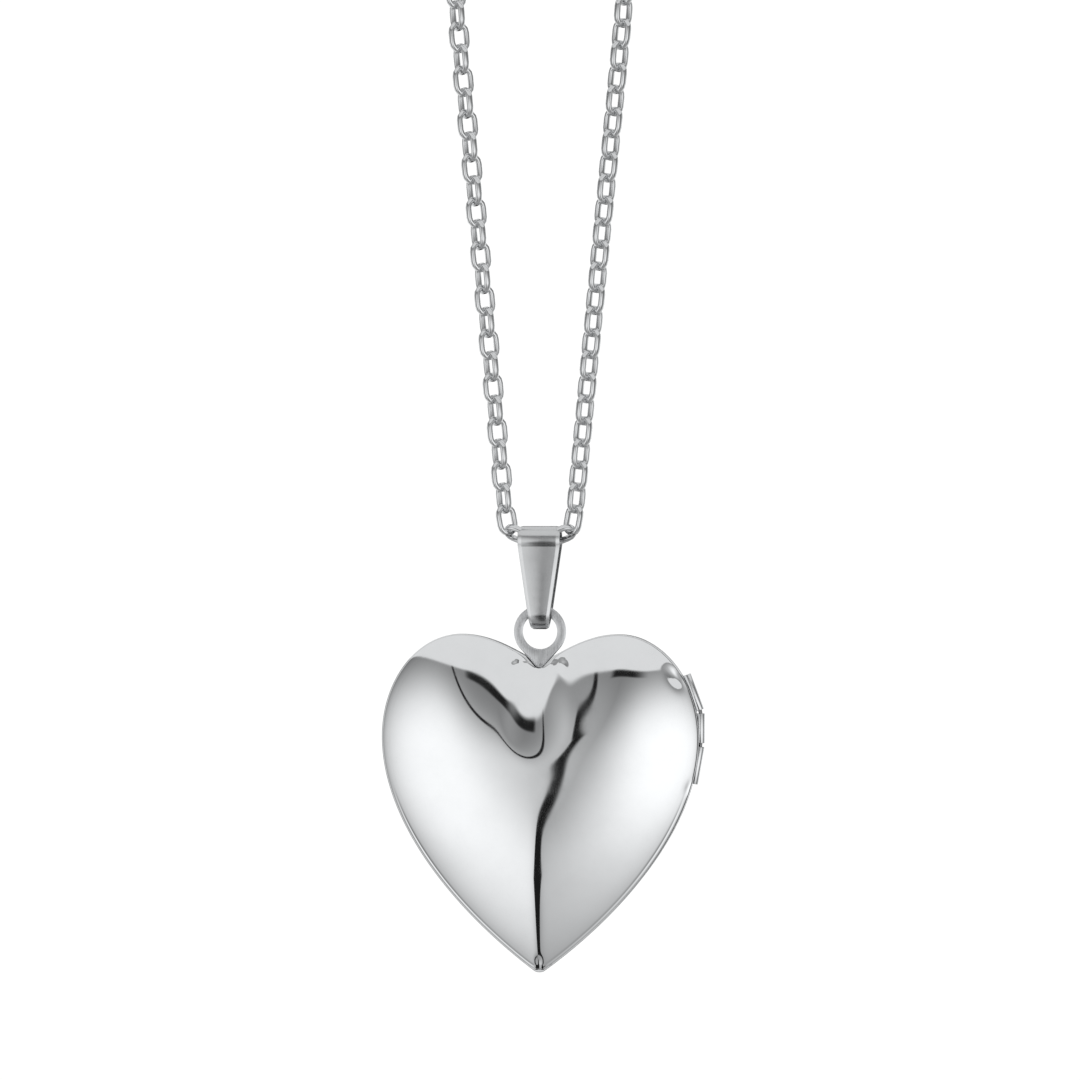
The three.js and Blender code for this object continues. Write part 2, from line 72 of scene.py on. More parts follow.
def tint(name, description, value):
    return FloatVectorProperty(name=name, description=description, default=value, subtype="COLOR")


class LocketSizes(bpy.types.PropertyGroup):
    heart_width: length("Heart width", "Across both lobes", 27.2)
    heart_height: length("Heart height", "Lobes to tip", 28.8)
    cover_depth: length("Cover depth", "Seam to crown", 3.3)
    sheet: length("Sheet", "Thickness of the covers", 0.45)
    ridge: length("Ridge rounding", "Of the ridge above the tip", 0.3)
    spokes: IntProperty(name="Spokes", description="Rows round half a cover", default=230)
    rings: IntProperty(name="Rings", description="Rows from rim to crown", default=84)
    pitch: length("Link pitch", "Distance from link to link", 1.88)
    wire: length("Link wire", "Width of the wire in the link's plane", 0.42)
    link_thick: length("Link thickness", "Across the link's plane", 0.56)
    link_width: length("Link width", "Outside width of a link", 1.88)
    link_turn: FloatProperty(
        name="Link turn", description="Turn of the first link", default=math.radians(142), subtype="ANGLE"
    )


class LocketFinish(bpy.types.PropertyGroup):
    steel: tint("Steel", "Polished steel", (0.86, 0.865, 0.872))
    worn: tint("Worn steel", "Rubbed edges", (0.93, 0.935, 0.94))
    satin: tint("Satin steel", "Brushed faces", (0.7, 0.705, 0.715))
    floor: tint("Floor", "Pale floor", (0.86, 0.86, 0.855))
    polish: FloatProperty(name="Polish", description="Roughness of polished faces", default=0.035)
    ceiling: FloatProperty(name="Ceiling light", description="Brightness overhead", default=0.835)
    softbox: FloatProperty(name="Side light", description="Brightness at each side", default=0.52)
    gain: FloatProperty(name="Studio light", description="Brightness of it all", default=1.2)


def sizes():
    return bpy.context.scene.locket_sizes


def finish():
    return bpy.context.scene.locket_finish


# ---- mesh helpers
def mesh_piece(name, verts, faces, material, sharp=35.0, recalc=False):
    """A smooth-shaded mesh object at the origin, with creases kept sharp."""
    mesh = bpy.data.meshes.new(name)
    mesh.from_pydata([tuple(v) for v in verts], [], faces)
    if recalc:
        shape = bmesh.new()
        shape.from_mesh(mesh)
        bmesh.ops.recalc_face_normals(shape, faces=shape.faces)
        shape.to_mesh(mesh)
        shape.free()
    finish_mesh(mesh, material, sharp)
    piece = bpy.data.objects.new(name, mesh)
    bpy.context.scene.collection.objects.link(piece)
    return piece


def finish_mesh(mesh, material, sharp=35.0):
    mesh.shade_smooth()
    mesh.set_sharp_from_angle(angle=math.radians(sharp))
    mesh.materials.clear()
    mesh.materials.append(material)


def settle(piece, body, slot, *nodes):
    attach(piece, body)
    if nodes:
        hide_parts(*nodes)


def add_solid(name, shape, material, body, slot, node, sharp=35.0):
    """A piece from its points and faces, on its body and in place of one CAD node."""
    piece = mesh_piece(name, *shape, MATERIALS[material], sharp, recalc=True)
    settle(piece, body, slot, node)
    return piece


def skin_loops(loops, closed_rows=False):
    """Faces between loops of points that all have the same count, each loop closed."""
    count = len(loops[0])
    verts = [p for loop in loops for p in loop]
    faces = []
    rows = len(loops) if closed_rows else len(loops) - 1
    for j in range(rows):
        a = j * count
        b = ((j + 1) % len(loops)) * count
        for i in range(count):
            k = (i + 1) % count
            faces.append((a + i, a + k, b + k, b + i))
    return verts, faces


def capped(loops):
    """Faces between loops, with a cap on the first loop and on the last."""
    verts, faces = skin_loops(loops)
    size = len(loops[0])
    faces.append(tuple(range(size - 1, -1, -1)))
    faces.append(tuple(range(len(verts) - size, len(verts))))
    return verts, faces


def circle(count, offset=0.0):
    """The cosines and sines of evenly spaced angles."""
    turns = (2 * math.pi * (k + offset) / count for k in range(count))
    return [(math.cos(a), math.sin(a)) for a in turns]


def lathe(profile, sides, place):
    """A closed profile of (radius, height) turned round local Z, then placed by a matrix."""
    loops = [[place @ Vector((r * c, r * s, h)) for r, h in profile] for c, s in circle(sides)]
    return skin_loops(loops, closed_rows=True)


def tube_profile(inner, outer, low, high, chamfer):
    corner = [(inner, chamfer), (inner + chamfer, 0), (outer - chamfer, 0)]
    corner += [(outer - 0.3 * chamfer, 0.3 * chamfer), (outer, chamfer)]
    return [(r, low + h) for r, h in corner] + [(r, high - h) for r, h in corner[::-1]]


def rounded(value, power):
    return math.copysign(abs(value) ** power, value)


def swept_wire(points, radius, sides, closed, thick=None, first_normal=None, square=1.0):
    """A wire along points, round or pressed flatter, its section turned as little as possible."""
    thick = radius if thick is None else thick
    section = [(radius * rounded(c, square), thick * rounded(s, square)) for c, s in circle(sides, 0.5)]
    path = [Vector(p) for p in points]
    count = len(path)
    loops = []
    normal = None
    for i, point in enumerate(path):
        before = path[i - 1] if closed or i > 0 else path[i]
        after = path[(i + 1) % count] if closed or i < count - 1 else path[i]
        along = (after - before).normalized()
        if normal is None:
            normal = Vector(first_normal) if first_normal else along.orthogonal().normalized()
        normal = (normal - along * normal.dot(along)).normalized()
        across = along.cross(normal)
        loops.append([point + u * across + v * normal for u, v in section])
    return skin_loops(loops, closed_rows=True) if closed else capped(loops)


def evaluated_mesh(piece):
    """Applies the piece's modifiers."""
    bpy.context.view_layer.update()
    graph = bpy.context.evaluated_depsgraph_get()
    mesh = bpy.data.meshes.new_from_object(piece.evaluated_get(graph))
    piece.modifiers.clear()
    piece.data = mesh
    return mesh


def boolean(piece, cutters):
    """Cuts the cutters out of the piece at a thousand times its size, and throws them away."""
    for item in [piece] + cutters:
        item.data.transform(Matrix.Scale(1 / MM, 4))
    for cutter in cutters:
        cut = piece.modifiers.new("cut", "BOOLEAN")
        cut.operation = "DIFFERENCE"
        cut.solver = "EXACT"
        cut.object = cutter
    evaluated_mesh(piece).transform(Matrix.Scale(MM, 4))
    for cutter in cutters:
        bpy.data.objects.remove(cutter)


# ---- the heart
RIM = 0.6 * MM  # upright wall beside the seam
LEDGE = 0.12 * MM  # its narrow face, before the dome begins
SEAM = 0.03 * MM  # half the gap between the covers
INNER_BASE = RIM - 0.22 * MM
FULLNESS = 0.93
POWER = 6
STRAIGHT_EDGE = 1.1781  # integral of (1 + u^2)^(-POWER / 2), so a straight edge reads true
CLEFT = 2.5 * MM
CENTRE_BELOW = 11.5 * MM  # the crown, below the lobes

# the round valley below the cleft, in millimetres
VALLEY_WIDTH = 3.85
VALLEY_SPREAD = 0.27
VALLEY_FALL = 0.8
VALLEY_CURVE = 0.005
VALLEY_SIDES = 2.7
VALLEY_BLEND = 0.34 * MM

# the fine groove inside the rim, low down on the heart, in millimetres
GROOVE_DEPTH = 0.035
GROOVE_FROM_EDGE = 0.34
GROOVE_WIDTH = 0.07
GROOVE_STARTS = 13
GROOVE_FADE = 6

# rows of the mesh near the rim, as distances from the edge in millimetres
RIM_STEPS = (0.014, 0.03, 0.06, 0.1, 0.12, 0.124, 0.135, 0.16, 0.2, 0.24)
RIM_STEPS += (0.28, 0.31, 0.34, 0.37, 0.4, 0.44, 0.5, 0.6, 0.8)
INNER_STEPS = (0.0, 0.13, 0.2, 0.35, 0.6)
INNER_RINGS = 26

# hollows pressed in the front cover, in millimetres and degrees:
# x, distance below the lobes, reach across, reach down, depth, turn
HOLLOWS = (
    (11.95, 3.45, 0.62, 0.95, 0.5, -40),
    (12.9, 13.0, 0.3, 0.55, 0.35, 20),
    (0.0, 27.95, 0.28, 0.5, 0.16, 0),
    (-1.95, 2.55, 0.28, 0.6, 0.1, 30),
    (-2.75, 1.75, 0.25, 0.5, 0.07, 40),
    (2.05, 2.45, 0.28, 0.6, 0.1, -30),
    (2.85, 1.75, 0.25, 0.5, 0.08, -40),
)


def bezier(points, count):
    t = np.linspace(0, 1, count)[:, None]
    order = len(points) - 1
    return sum(
        math.comb(order, k) * t**k * (1 - t) ** (order - k) * np.array(point, float)
        for k, point in enumerate(points)
    )


def half_outline(count, crowd=False):
    """The right half of the heart from cleft to tip, as (x, z) in metres."""
    kx = sizes().heart_width / 27  # the curves are drawn 27 wide and 28.8 high
    kz = sizes().heart_height / 28.8
    curve = np.vstack(
        [
            bezier([(0, -2.5), (2, -1.45), (4, 0), (6.7, 0)], 600),
            bezier([(6.7, 0), (10.4, 0), (13.5, -3.9), (13.5, -8.8)], 600)[1:],
            bezier([(13.5, -8.8), (13.5, -16.2), (7.2, -23.7), (0.42, -28.7)], 900)[1:],
            bezier([(0.42, -28.7), (0.25, -28.8), (0, -28.8)], 60)[1:],
        ]
    )
    curve = curve * [kx, kz] + [0, HEART_TOP]
    run = np.concatenate([[0], np.cumsum(np.hypot(*np.diff(curve, axis=0).T))])
    weight = np.ones_like(run)
    if crowd:
        from_tip = run[-1] - run
        for extra, distance, reach in ((7, from_tip, 1.0), (2.5, from_tip, 3.0), (3, run, 2.5)):
            weight += extra * np.exp(-((distance / (reach * MM)) ** 2))
    load = np.concatenate([[0], np.cumsum((weight[1:] + weight[:-1]) / 2 * np.diff(run))])
    at = np.interp(np.linspace(0, load[-1], count + 1), load, run)
    return np.stack([np.interp(at, run, curve[:, 0]), np.interp(at, run, curve[:, 1])], 1)


class Heart:
    """Distances from the heart's edge, and the height of its dome."""

    def __init__(self):
        self.coarse = self.stretches(400)
        self.fine = self.stretches(3200)
        self.centre = HEART_TOP - CENTRE_BELOW * sizes().heart_height / (28.8 * MM)
        axis = np.stack([np.zeros(80), HEART_TOP - np.linspace(8, 18, 80) * MM], 1)
        self.deepest = self.dome_distance(axis).max() * 1.02

    @staticmethod
    def stretches(count):
        ends = half_outline(count)
        return (ends[1:] + ends[:-1]) / 2, np.hypot(*(ends[1:] - ends[:-1]).T)

    @staticmethod
    def summed(points, stretches):
        middle, length = stretches
        total = np.zeros(len(points))
        for first in range(0, len(points), 2000):
            part = points[first : first + 2000]
            gap = (part[:, None, 0] - middle[:, 0]) ** 2 + (part[:, None, 1] - middle[:, 1]) ** 2
            gap = np.maximum(gap / MM**2, 1e-8)
            total[first : first + 2000] = (length / MM / gap ** (POWER // 2)).sum(1)
        return (STRAIGHT_EDGE / total) ** (1 / (POWER - 1)) * MM

    def half_distance(self, points):
        distance = self.summed(points, self.coarse)
        close = distance < 0.9 * MM
        if close.any():
            distance[close] = self.summed(points[close], self.fine)
        return distance

    def edge_distance(self, points):
        right = self.half_distance(points)
        left = self.half_distance(points * [-1, 1])
        return soft_min(right, left, sizes().ridge)

    def dome_distance(self, points):
        below = np.maximum(0, HEART_TOP - CLEFT - points[:, 1]) / MM
        width = VALLEY_WIDTH + VALLEY_SPREAD * below
        across = np.hypot(points[:, 0] / MM, width) - width
        valley = (VALLEY_FALL * below + VALLEY_CURVE * below**3 + VALLEY_SIDES * across) * MM
        return np.maximum(0, soft_min(self.edge_distance(points), valley, VALLEY_BLEND))

    def bulge(self, distance, start):
        s = np.clip((distance - start) / (self.deepest - start), 0, 1)
        return (s * (2 - s)) ** FULLNESS

    def outer(self, points):
        distance = self.dome_distance(points)
        low_down = np.clip(((HEART_TOP - points[:, 1]) / MM - GROOVE_STARTS) / GROOVE_FADE, 0, 1)
        beside = (distance / MM - GROOVE_FROM_EDGE) / GROOVE_WIDTH
        groove = GROOVE_DEPTH * MM * low_down * np.exp(-(beside**2))
        return RIM + (sizes().cover_depth - RIM) * self.bulge(distance, LEDGE) - groove

    def inner(self, points):
        rise = sizes().cover_depth - sizes().sheet - INNER_BASE
        return INNER_BASE + rise * self.bulge(self.dome_distance(points), LEDGE + sizes().sheet)

    def towards_centre(self, outline, share):
        share = np.broadcast_to(share, len(outline))[:, None]
        return outline * (1 - share) + np.array([0, self.centre]) * share

    def shares(self, outline, distances):
        """How far along each spoke the edge is each of these distances away."""
        spoke = np.array([0, self.centre]) - outline
        reach = np.hypot(*spoke.T)
        along = np.roll(outline, -1, 0) - np.roll(outline, 1, 0)
        along /= np.hypot(*along.T)[:, None]
        square = np.maximum(0.4, np.abs(spoke[:, 0] * along[:, 1] - spoke[:, 1] * along[:, 0]) / reach)
        found = []
        for distance in distances:
            share = distance / reach / square
            if distance > 0.4 * MM:
                low, high = share * 0.7, share * 2.5
                for _ in range(12):
                    middle = (low + high) / 2
                    short = self.edge_distance(self.towards_centre(outline, middle)) < distance
                    low, high = np.where(short, middle, low), np.where(short, high, middle)
                share = low
            if found:
                share = np.maximum(share, found[-1] + 0.003 * MM / reach)
            found.append(share)
        return found


def soft_min(a, b, width):
    low = np.minimum(a, b)
    return low - width * np.log(np.exp(-(a - low) / width) + np.exp(-(b - low) / width))


def cover_rows(heart):
    """The back cover's loops of points, outside from seam to crown and inside from seam to floor."""
    half = half_outline(sizes().spokes, crowd=True)
    outline = np.vstack([half[:-1], (half * [-1, 1])[::-1][:-1]])
    centre = np.array([[0, heart.centre]])

    def row(share, height):
        points = heart.towards_centre(outline, share)
        y = height(points) if callable(height) else np.full(len(points), height)
        return np.stack([points[:, 0], y, points[:, 1]], 1)

    def dome(height, steps, rows, power):
        for share in steps:
            yield row(share, height)
        for j in range(1, rows):
            yield row(steps[-1] + (1 - steps[-1]) * (j / rows) ** power, height)
        yield np.array([[0, float(height(centre)[0]), heart.centre]])

    near = heart.shares(outline, [d * MM for d in RIM_STEPS])
    outer = [row(near[1], SEAM), row(0.0, SEAM + 0.03 * MM), row(0.0, RIM - 0.09 * MM)]
    outer += [row(near[0], RIM - 0.035 * MM), row(near[2], RIM)]
    outer += list(dome(heart.outer, near[3:], sizes().rings, 1.25))
    within = heart.shares(outline, [sizes().sheet + d * MM for d in INNER_STEPS])
    inner = [row(within[0], SEAM), row(within[0], INNER_BASE)]
    inner += list(dome(heart.inner, within[1:], INNER_RINGS, 1.2))
    return outer, inner


def pressed(verts):
    """Front cover points with small hollows pressed in beside the hinge and the loop."""
    moved = verts.copy()
    for x, below, wide, high, depth, turn in HOLLOWS:
        c, s = math.cos(math.radians(turn)), math.sin(math.radians(turn))
        across = verts[:, 0] / MM - x
        down = (HEART_TOP - verts[:, 2]) / MM - below
        u, v = c * across + s * down, -s * across + c * down
        share = np.exp(-((u / wide) ** 2) - (v / high) ** 2)
        room = np.clip((np.abs(verts[:, 1]) - RIM) / (0.5 * MM), 0, 1)
        moved[:, 1] += depth * MM * share * room
    return moved


def cover_mesh(rows, side):
    """One stamped cover: a domed shell with a plain rim, side is 1 behind and -1 in front."""
    outer, inner = rows
    count = len(outer[0])
    loops = outer + inner
    starts = np.concatenate([[0], np.cumsum([len(loop) for loop in loops])])
    verts = np.vstack(loops) * [1, side, 1]
    faces = []

    def strip(a, b):
        first, second = starts[a], starts[b]
        for i in range(count):
            k = (i + 1) % count
            if len(loops[b]) == 1:
                faces.append((first + i, first + k, second))
            elif len(loops[a]) == 1:
                faces.append((second + k, second + i, first))
            else:
                faces.append((first + i, first + k, second + k, second + i))

    for j in range(len(outer) - 1):
        strip(j, j + 1)
    for j in range(len(outer), len(loops) - 1):
        strip(j + 1, j)
    strip(len(outer), 0)
    if side < 0:
        faces = [tuple(reversed(face)) for face in faces]
        verts = pressed(verts)
    return verts, faces


# ---- hinge places
KNUCKLE = 0.38 * MM
PIN = 0.16 * MM
MIDDLE_HALF = 1.25 * MM
END_FROM = 0.15 * MM
END_TO = 3.35 * MM
BEND = MIDDLE_HALF + 0.15 * MM
TILT_UP = math.radians(21)
TILT_DOWN = math.radians(10)
HINGE_POINT = Vector(HINGE["pos_m"])


def knuckle_places():
    """Each knuckle's matrix and its reach along its own axis."""
    upper = Matrix.Translation(HINGE_POINT + Vector((0, 0, BEND))) @ Matrix.Rotation(-TILT_UP, 4, "Y")
    lower = Matrix.Translation(HINGE_POINT - Vector((0, 0, BEND))) @ Matrix.Rotation(TILT_DOWN, 4, "Y")
    return {
        "upper": (upper, END_FROM, END_TO),
        "middle": (Matrix.Translation(HINGE_POINT), -MIDDLE_HALF, MIDDLE_HALF),
        "lower": (lower, -END_TO, -END_FROM),
    }


def knuckle_cutters():
    cutters = []
    radius = KNUCKLE + 0.05 * MM
    for name, (place, low, high) in knuckle_places().items():
        loops = [
            [place @ Vector((radius * c, radius * s, h)) for c, s in circle(32)]
            for h in (low - 0.12 * MM, high + 0.12 * MM)
        ]
        cutters.append(mesh_piece("cutter_" + name, *capped(loops), MATERIALS["polished_shell"], recalc=True))
    return cutters


# ---- loop and bail outlines
LOOP_RADIUS = 2.22 * MM
LOOP_HOLE = 1.5 * MM
LOOP_HALF = 0.36 * MM  # half its thickness
LOOP_BEVEL = 0.14 * MM
TAIL = 3.1 * MM
BAIL_STRAP = 0.33 * MM
BAIL_WIDTHS = (3.62 * MM, 1.5 * MM)  # under the roll and at the foot
BAIL_BEVELS = (0.3 * MM, 0.22 * MM)
BAIL_ROLL = 0.86  # inside radius, millimetres
ROLL_WRAP = 0.5  # radians the roll turns on below its middle, before the crease
SWING_ROOM = 0.38  # millimetres between the loop and each leg


def loop_centre():
    return HEART_TOP + 0.22 * MM


def loop_reach(angle, grow=0.0):
    """Distance from the loop's centre to its outer edge in one direction."""
    radius = LOOP_RADIUS + grow
    start = math.radians(-44)
    corner = Vector((math.cos(start), math.sin(start))) * radius
    tail = -(TAIL + grow)
    foot = Vector((0.42 * MM, tail + 0.22 * MM))
    line = [corner, foot]
    for t in (0.25, 0.5, 0.75, 1.0):
        left = (1 - t) ** 2
        line.append(Vector((left * foot.x + 2 * t * (1 - t) * 0.2 * MM, left * foot.y + (1 - left) * tail)))
    direction = Vector((abs(math.cos(angle)), math.sin(angle)))
    if direction.y > math.sin(start) - 1e-9:
        return radius
    for a, b in zip(line, line[1:]):
        side = b - a
        cross = direction.x * side.y - direction.y * side.x
        if abs(cross) < 1e-12:
            continue
        reach = (a.x * side.y - a.y * side.x) / cross
        share = (a.x * direction.y - a.y * direction.x) / cross
        if reach > 0 and -1e-6 <= share <= 1 + 1e-6:
            return reach
    return -tail


def tail_cutter(y_low, y_high):
    loops = []
    for y in (y_low, y_high):
        row = []
        for c, s in circle(72, 0.5):
            reach = loop_reach(math.atan2(s, c), 0.05 * MM)
            row.append((reach * c, y, loop_centre() + reach * s))
        loops.append(row)
    return mesh_piece("cutter_tail", *capped(loops), MATERIALS["polished_shell"], recalc=True)


# ---- shader groups and materials
def add_socket(tree, name, kind, default=None, output=False):
    socket = tree.interface.new_socket(name, in_out="OUTPUT" if output else "INPUT", socket_type=kind)
    if default is not None:
        socket.default_value = default
    return socket


def add_node(tree, kind, inputs=None, **settings):
    """A new node with its settings, and with values or links on its inputs."""
    node = tree.nodes.new(kind)
    for name, value in settings.items():
        setattr(node, name, value)
    for key, value in (inputs or {}).items():
        if isinstance(value, bpy.types.NodeSocket):
            tree.links.new(value, node.inputs[key])
        else:
            node.inputs[key].default_value = value
    return node


def math_node(tree, operation, a, b=None):
    inputs = {0: a} if b is None else {0: a, 1: b}
    return add_node(tree, "ShaderNodeMath", inputs, operation=operation).outputs[0]


def noise_node(tree, vector, scale, detail=3.0, rough=0.55, stretch=None):
    if stretch:
        inputs = {"Scale": stretch[0], "Rotation": stretch[1], "Vector": vector}
        vector = add_node(tree, "ShaderNodeMapping", inputs).outputs["Vector"]
    inputs = {"Detail": detail, "Roughness": rough, "Scale": scale, "Vector": vector}
    return add_node(tree, "ShaderNodeTexNoise", inputs).outputs["Fac"]


def ramp_between(tree, value, low, high, out_low=0.0, out_high=1.0, curve="LINEAR"):
    inputs = {"From Min": low, "From Max": high, "To Min": out_low, "To Max": out_high, "Value": value}
    return add_node(tree, "ShaderNodeMapRange", inputs, interpolation_type=curve).outputs["Result"]


def mix_colours(tree, factor, first, second):
    inputs = {"Factor": factor, "A": first, "B": second}
    return add_node(tree, "ShaderNodeMix", inputs, data_type="RGBA").outputs["Result"]


def new_group(name, inputs, outputs):
    """An empty shader group, its input sockets and the links to make to its outputs."""
    tree = bpy.data.node_groups.new(name, "ShaderNodeTree")
    add_socket(tree, "Vector", "NodeSocketVector")
    for label, default in inputs.items():
        add_socket(tree, label, "NodeSocketFloat", default)
    for label in outputs:
        add_socket(tree, label, "NodeSocketFloat", output=True)
    add_socket(tree, "Normal", "NodeSocketVector", output=True)
    start = tree.nodes.new("NodeGroupInput")
    end = tree.nodes.new("NodeGroupOutput")
    return tree, start.outputs, end.inputs


def hairline_group():
    """Fine scratches in three directions, and the soft smudges of handling."""
    inputs = {"Scratch Scale": 9000.0, "Smudge Scale": 420.0}
    tree, start, end = new_group("hairlines", inputs, ("Scratches", "Smudges"))
    total = None
    for turn in ((0.2, 0.35, 0.1), (0.9, -0.4, 1.3), (-0.5, 1.1, 2.2)):
        stretch = ((1.0, 1.0, 0.02), turn)
        lines = noise_node(tree, start["Vector"], start["Scratch Scale"], 2.0, 0.5, stretch)
        lines = ramp_between(tree, lines, 0.66, 0.78)
        total = lines if total is None else math_node(tree, "MAXIMUM", total, lines)
    smudge = noise_node(tree, start["Vector"], start["Smudge Scale"], 4.0, 0.6)
    smudge = ramp_between(tree, smudge, 0.38, 0.68)
    scratches = math_node(tree, "MULTIPLY", total, smudge)
    bump = add_node(tree, "ShaderNodeBump", {"Strength": 0.006, "Distance": 0.00001, "Height": scratches})
    tree.links.new(scratches, end["Scratches"])
    tree.links.new(smudge, end["Smudges"])
    tree.links.new(bump.outputs["Normal"], end["Normal"])


def grain_group():
    """Satin grain, long in one direction, with its own bump."""
    inputs = {"Scale": 14000.0, "Fine Scale": 42000.0, "Strength": 0.25}
    tree, start, end = new_group("satin_grain", inputs, ("Grain",))
    stretch = ((1.0, 1.0, 0.05), (0.0, 0.0, 0.0))
    coarse = noise_node(tree, start["Vector"], start["Scale"], 4.0, 0.65, stretch)
    fine = noise_node(tree, start["Vector"], start["Fine Scale"], 3.0, 0.6, stretch)
    coarse = math_node(tree, "MULTIPLY", coarse, 0.65)
    grain = math_node(tree, "ADD", coarse, math_node(tree, "MULTIPLY", fine, 0.35))
    inputs = {"Distance": 0.00004, "Strength": start["Strength"], "Height": grain}
    bump = add_node(tree, "ShaderNodeBump", inputs)
    tree.links.new(grain, end["Grain"])
    tree.links.new(bump.outputs["Normal"], end["Normal"])


def colour(value, gain=1.0):
    return tuple(min(1.0, c * gain) for c in value) + (1.0,)


def new_material(name):
    """A metal material, with its node tree, its shader's inputs and its coordinates."""
    material = bpy.data.materials.new(name)
    material.use_nodes = True
    tree = material.node_tree
    shader = tree.nodes["Principled BSDF"].inputs
    shader["Metallic"].default_value = 1.0
    coords = tree.nodes.new("ShaderNodeTexCoord").outputs["Object"]
    MATERIALS[name] = material
    return tree, shader, coords


def polished(name, shade=1.0, rough=0.035, rough_high=0.075, scratch_scale=9000.0, edge=(0.58, 0.68)):
    """Mirror-polished steel with hairlines, smudges and brighter rubbed edges."""
    tree, shader, coords = new_material(name)
    wear = tree.nodes.new("ShaderNodeGroup")
    wear.node_tree = bpy.data.node_groups["hairlines"]
    wear.inputs["Scratch Scale"].default_value = scratch_scale
    tree.links.new(coords, wear.inputs["Vector"])
    wear = wear.outputs
    edges = tree.nodes.new("ShaderNodeNewGeometry").outputs["Pointiness"]
    edges = ramp_between(tree, edges, *edge)
    steel = finish().steel
    body = mix_colours(tree, wear["Smudges"], colour(steel, shade), colour(steel, shade * 0.975))
    body = mix_colours(tree, math_node(tree, "MULTIPLY", edges, 0.6), body, colour(finish().worn, shade))
    tree.links.new(body, shader["Base Color"])
    level = rough
    for mask, share in ((wear["Smudges"], rough_high - rough), (wear["Scratches"], 0.02), (edges, 0.05)):
        level = math_node(tree, "ADD", math_node(tree, "MULTIPLY", mask, share), level)
    tree.links.new(level, shader["Roughness"])
    tree.links.new(wear["Normal"], shader["Normal"])


def satin(name, shade=1.0, rough=0.3, rough_high=0.46, strength=0.25, scale=14000.0):
    """Brushed steel whose grain runs up and down."""
    tree, shader, coords = new_material(name)
    grain = tree.nodes.new("ShaderNodeGroup")
    grain.node_tree = bpy.data.node_groups["satin_grain"]
    for label, value in (("Strength", strength), ("Scale", scale), ("Fine Scale", scale * 3)):
        grain.inputs[label].default_value = value
    tree.links.new(coords, grain.inputs["Vector"])
    share = ramp_between(tree, grain.outputs["Grain"], 0.36, 0.64)
    dark, light = (colour(finish().satin, shade * gain) for gain in (0.72, 1.16))
    tree.links.new(mix_colours(tree, share, dark, light), shader["Base Color"])
    tree.links.new(ramp_between(tree, share, 0.0, 1.0, rough, rough_high), shader["Roughness"])
    tree.links.new(grain.outputs["Normal"], shader["Normal"])


def floor_material():
    tree, shader, coords = new_material("pale_floor")
    cloud = ramp_between(tree, noise_node(tree, coords, 6.0, 3.0), 0.3, 0.7)
    base = mix_colours(tree, cloud, colour(finish().floor), colour(finish().floor, 0.985))
    tree.links.new(base, shader["Base Color"])
    shader["Roughness"].default_value = 0.7
    shader["Metallic"].default_value = 0.0


def make_materials():
    hairline_group()
    grain_group()
    polish = finish().polish
    polished("polished_shell", 1.0, polish, polish + 0.035, edge=(0.9, 1.0))
    polished("polished_steel", 0.97, 0.07, 0.13, 12000.0)
    polished("chain_steel", 0.86, 0.08, 0.15, 15000.0)
    polished("bail_steel", 0.77, 0.19, 0.25, 24000.0, edge=(0.62, 0.8))
    polished("knuckle_steel", 0.88, 0.12, 0.2, 12000.0)
    polished("pin_steel", 0.32, 0.25, 0.4, 15000.0)
    polished("clasp_steel", 0.8, 0.14, 0.24, 9000.0)
    satin("satin_steel")
    satin("frame_satin", 1.08, 0.24, 0.36, 0.12, 9000.0)
    satin("seat_satin", 0.9, 0.42, 0.6, 0.2, 12000.0)
    floor_material()


# ---- stage
CAMERA_TURN = math.radians(7.0)
AIM = Vector((0, 0, -51.07 * MM))
VIEW_WIDTH = 92.2 * MM
LENS = 100.0
SENSOR = 36.0
FLOOR_Z = -0.2
FLOOR_RINGS = (0.02, 0.12, 0.3, 0.45)


